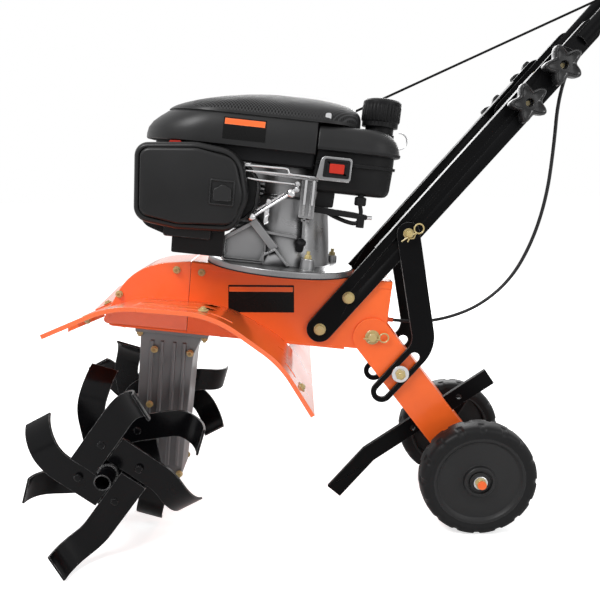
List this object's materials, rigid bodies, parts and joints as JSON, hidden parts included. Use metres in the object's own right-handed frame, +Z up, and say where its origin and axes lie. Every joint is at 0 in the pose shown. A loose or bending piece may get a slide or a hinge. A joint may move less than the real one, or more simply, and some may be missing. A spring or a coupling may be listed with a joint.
{
  "type": "front-tine tiller",
  "caption": "Engine-driven front-tine garden tiller on a steel deck, with bent digging tines, fenders, height-adjustable transport wheels, depth stake and handlebar.",
  "frame": {"origin": "on the ground under the middle of the machine's overall length, midway between its sides", "axes": "+X to the rear, where the operator walks; +Y to the right seen from the left side view, away from the air cleaner; +Z up"},
  "size_m": [1.364, 0.489, 1.0144],
  "materials": {
    "orange_paint": "gloss paint",
    "black_paint": "satin paint",
    "cast_aluminium": "cast",
    "black_plastic": "fine grain",
    "red_plastic": "gloss",
    "zinc_steel": "yellow zinc",
    "bright_steel": "turned",
    "bronze": "machined",
    "rubber": "matt",
    "tyre": "matt",
    "cord": "satin",
    "filter": "pleated"
  },
  "bodies": {
    "machine": {"belt_housing": "orange_paint", "engine_plate": "orange_paint", "nose_cover": "orange_paint", "housing_pan": "orange_paint", "front_bracket": "orange_paint", "fender_left": "orange_paint", "fender_right": "orange_paint", "gearbox_left": "cast_aluminium", "gearbox_right": "cast_aluminium", "bearings": "bright_steel", "drive_belt": "rubber", "crankcase": "cast_aluminium", "cylinder_head": "cast_aluminium", "shroud": "black_plastic", "fuel_tank": "black_plastic", "fuel_valve": "black_plastic", "air_filter_base": "black_plastic", "air_filter_element": "filter", "carburettor": "cast_aluminium", "muffler": "bright_steel", "control_bracket": "bright_steel", "lower_handle_left": "black_paint", "lower_handle_right": "black_paint", "handle_bolts": "zinc_steel", "upper_handle": "black_paint", "grips": "rubber", "clutch_cable": "cord", "starter_rope": "cord", "arm_pins": "zinc_steel", "chassis_bolts": "zinc_steel"},
    "crank": {"crankshaft": "bright_steel", "flywheel": "cast_aluminium"},
    "worm": {"worm_shaft": "bright_steel"},
    "tines": {"tine_shaft": "bright_steel", "worm_wheel": "bronze", "tine_hubs": "black_paint", "outer_tines_left": "black_paint", "outer_tines_right": "black_paint", "inner_tines_left": "black_paint", "inner_tines_right": "black_paint"},
    "idler": {"idler": "bright_steel"},
    "clutch_lever": {"clutch_lever": "black_paint"},
    "starter_pulley": {"starter_pulley": "black_plastic"},
    "starter_grip": {"starter_grip": "black_plastic"},
    "wheel_arm": {"wheel_arm": "orange_paint", "arm_fasteners": "zinc_steel", "wheel_axle": "black_paint"},
    "links": {"height_links": "black_paint"},
    "wheel_left": {"wheel_left": "tyre"},
    "wheel_right": {"wheel_right": "tyre"},
    "depth_stake": {"depth_stake": "black_paint"},
    "choke_lever": {"choke_lever": "black_plastic"},
    "throttle_lever": {"throttle_lever": "bright_steel"},
    "switch_rocker": {"switch_rocker": "red_plastic"},
    "fuel_cap": {"fuel_cap": "black_plastic"},
    "air_filter_cover": {"air_filter_cover": "black_plastic"},
    "star_knob_left_lower": {"star_knob_left_lower": "black_plastic"},
    "star_knob_left_upper": {"star_knob_left_upper": "black_plastic"},
    "star_knob_right_lower": {"star_knob_right_lower": "black_plastic"},
    "star_knob_right_upper": {"star_knob_right_upper": "black_plastic"}
  },
  "joints": [
    {"name": "tine_spin", "type": "hinge", "parent": "machine", "child": "tines", "pos_m": [-0.52413, 0, 0.15785], "axis": [0, 1, 0], "continuous": true},
    {"name": "worm_spin", "type": "hinge", "parent": "machine", "child": "worm", "pos_m": [-0.4536, 0, 0.28648], "axis": [0.117, 0, 0.9931], "continuous": true},
    {"name": "crank_spin", "type": "hinge", "parent": "machine", "child": "crank", "pos_m": [-0.24647, 0, 0.46346], "axis": [0.117, 0, 0.9931], "continuous": true},
    {"name": "clutch_lever_squeeze", "type": "hinge", "parent": "machine", "child": "clutch_lever", "pos_m": [0.52268, -0.201, 0.96471], "axis": [0, -1, 0], "range_deg": [0, 13], "stiffness_Nm_per_rad": 1.5},
    {"name": "idler_swing", "type": "hinge", "parent": "machine", "child": "idler", "pos_m": [-0.31617, -0.02, 0.39314], "axis": [-0.117, 0, -0.9931], "range_deg": [0, 13]},
    {"name": "starter_spin", "type": "hinge", "parent": "machine", "child": "starter_pulley", "pos_m": [-0.21886, 0, 0.69784], "axis": [0.117, 0, 0.9931], "range_deg": [0, 682], "stiffness_Nm_per_rad": 0.02},
    {"name": "starter_pull", "type": "slide", "parent": "machine", "child": "starter_grip", "axis": [0.9186, 0, 0.3953], "range_m": [0, 0.5]},
    {"name": "arm_swing", "type": "hinge", "parent": "machine", "child": "wheel_arm", "pos_m": [-0.08517, 0, 0.34227], "axis": [0, -1, 0], "range_deg": [-20, 15]},
    {"name": "link_swing", "type": "hinge", "parent": "machine", "child": "links", "pos_m": [-0.02687, 0, 0.52506], "axis": [0, -1, 0], "range_deg": [-2, 1.5]},
    {"name": "wheel_left_spin", "type": "hinge", "parent": "wheel_arm", "child": "wheel_left", "pos_m": [0.09483, -0.109, 0.1015], "axis": [0, 1, 0], "continuous": true},
    {"name": "wheel_right_spin", "type": "hinge", "parent": "wheel_arm", "child": "wheel_right", "pos_m": [0.09483, 0.109, 0.1015], "axis": [0, 1, 0], "continuous": true},
    {"name": "stake_slide", "type": "slide", "parent": "wheel_arm", "child": "depth_stake", "axis": [0.8243, 0, 0.5661], "range_m": [-0.055, 0.055]},
    {"name": "choke_turn", "type": "hinge", "parent": "machine", "child": "choke_lever", "pos_m": [-0.34348, -0.074, 0.62291], "axis": [0.117, 0, 0.9931], "range_deg": [0, 40]},
    {"name": "throttle_turn", "type": "hinge", "parent": "machine", "child": "throttle_lever", "pos_m": [-0.22273, -0.118, 0.5966], "axis": [0, -1, 0], "range_deg": [-3, 12]},
    {"name": "switch_rock", "type": "hinge", "parent": "machine", "child": "switch_rocker", "pos_m": [-0.15204, -0.1215, 0.63258], "axis": [0.117, 0, 0.9931], "range_deg": [-8, 8]},
    {"name": "cap_turn", "type": "hinge", "parent": "machine", "child": "fuel_cap", "pos_m": [-0.07187, -0.024, 0.71476], "axis": [0.117, 0, 0.9931], "range_deg": [0, 90]},
    {"name": "filter_cover_swing", "type": "hinge", "parent": "machine", "child": "air_filter_cover", "pos_m": [-0.46758, -0.1052, 0.60027], "axis": [-0.117, 0, -0.9931], "range_deg": [0, 60]},
    {"name": "knob_left_lower_turn", "type": "hinge", "parent": "machine", "child": "star_knob_left_lower", "pos_m": [0.15807, -0.07, 0.73272], "axis": [0, -1, 0], "continuous": true},
    {"name": "knob_left_upper_turn", "type": "hinge", "parent": "machine", "child": "star_knob_left_upper", "pos_m": [0.20884, -0.07, 0.78927], "axis": [0, -1, 0], "continuous": true},
    {"name": "knob_right_lower_turn", "type": "hinge", "parent": "machine", "child": "star_knob_right_lower", "pos_m": [0.15807, 0.07, 0.73272], "axis": [0, 1, 0], "continuous": true},
    {"name": "knob_right_upper_turn", "type": "hinge", "parent": "machine", "child": "star_knob_right_upper", "pos_m": [0.20884, 0.07, 0.78927], "axis": [0, 1, 0], "continuous": true}
  ],
  "couplings": [
    {"joint": "worm_spin", "follows": "tine_spin", "ratio": 30},
    {"joint": "idler_swing", "follows": "clutch_lever_squeeze", "ratio": 1},
    {"joint": "starter_pull", "follows": "starter_spin", "m_per_rad": 0.042},
    {"joint": "link_swing", "follows": "arm_swing", "ratio": 0.1}
  ]
}
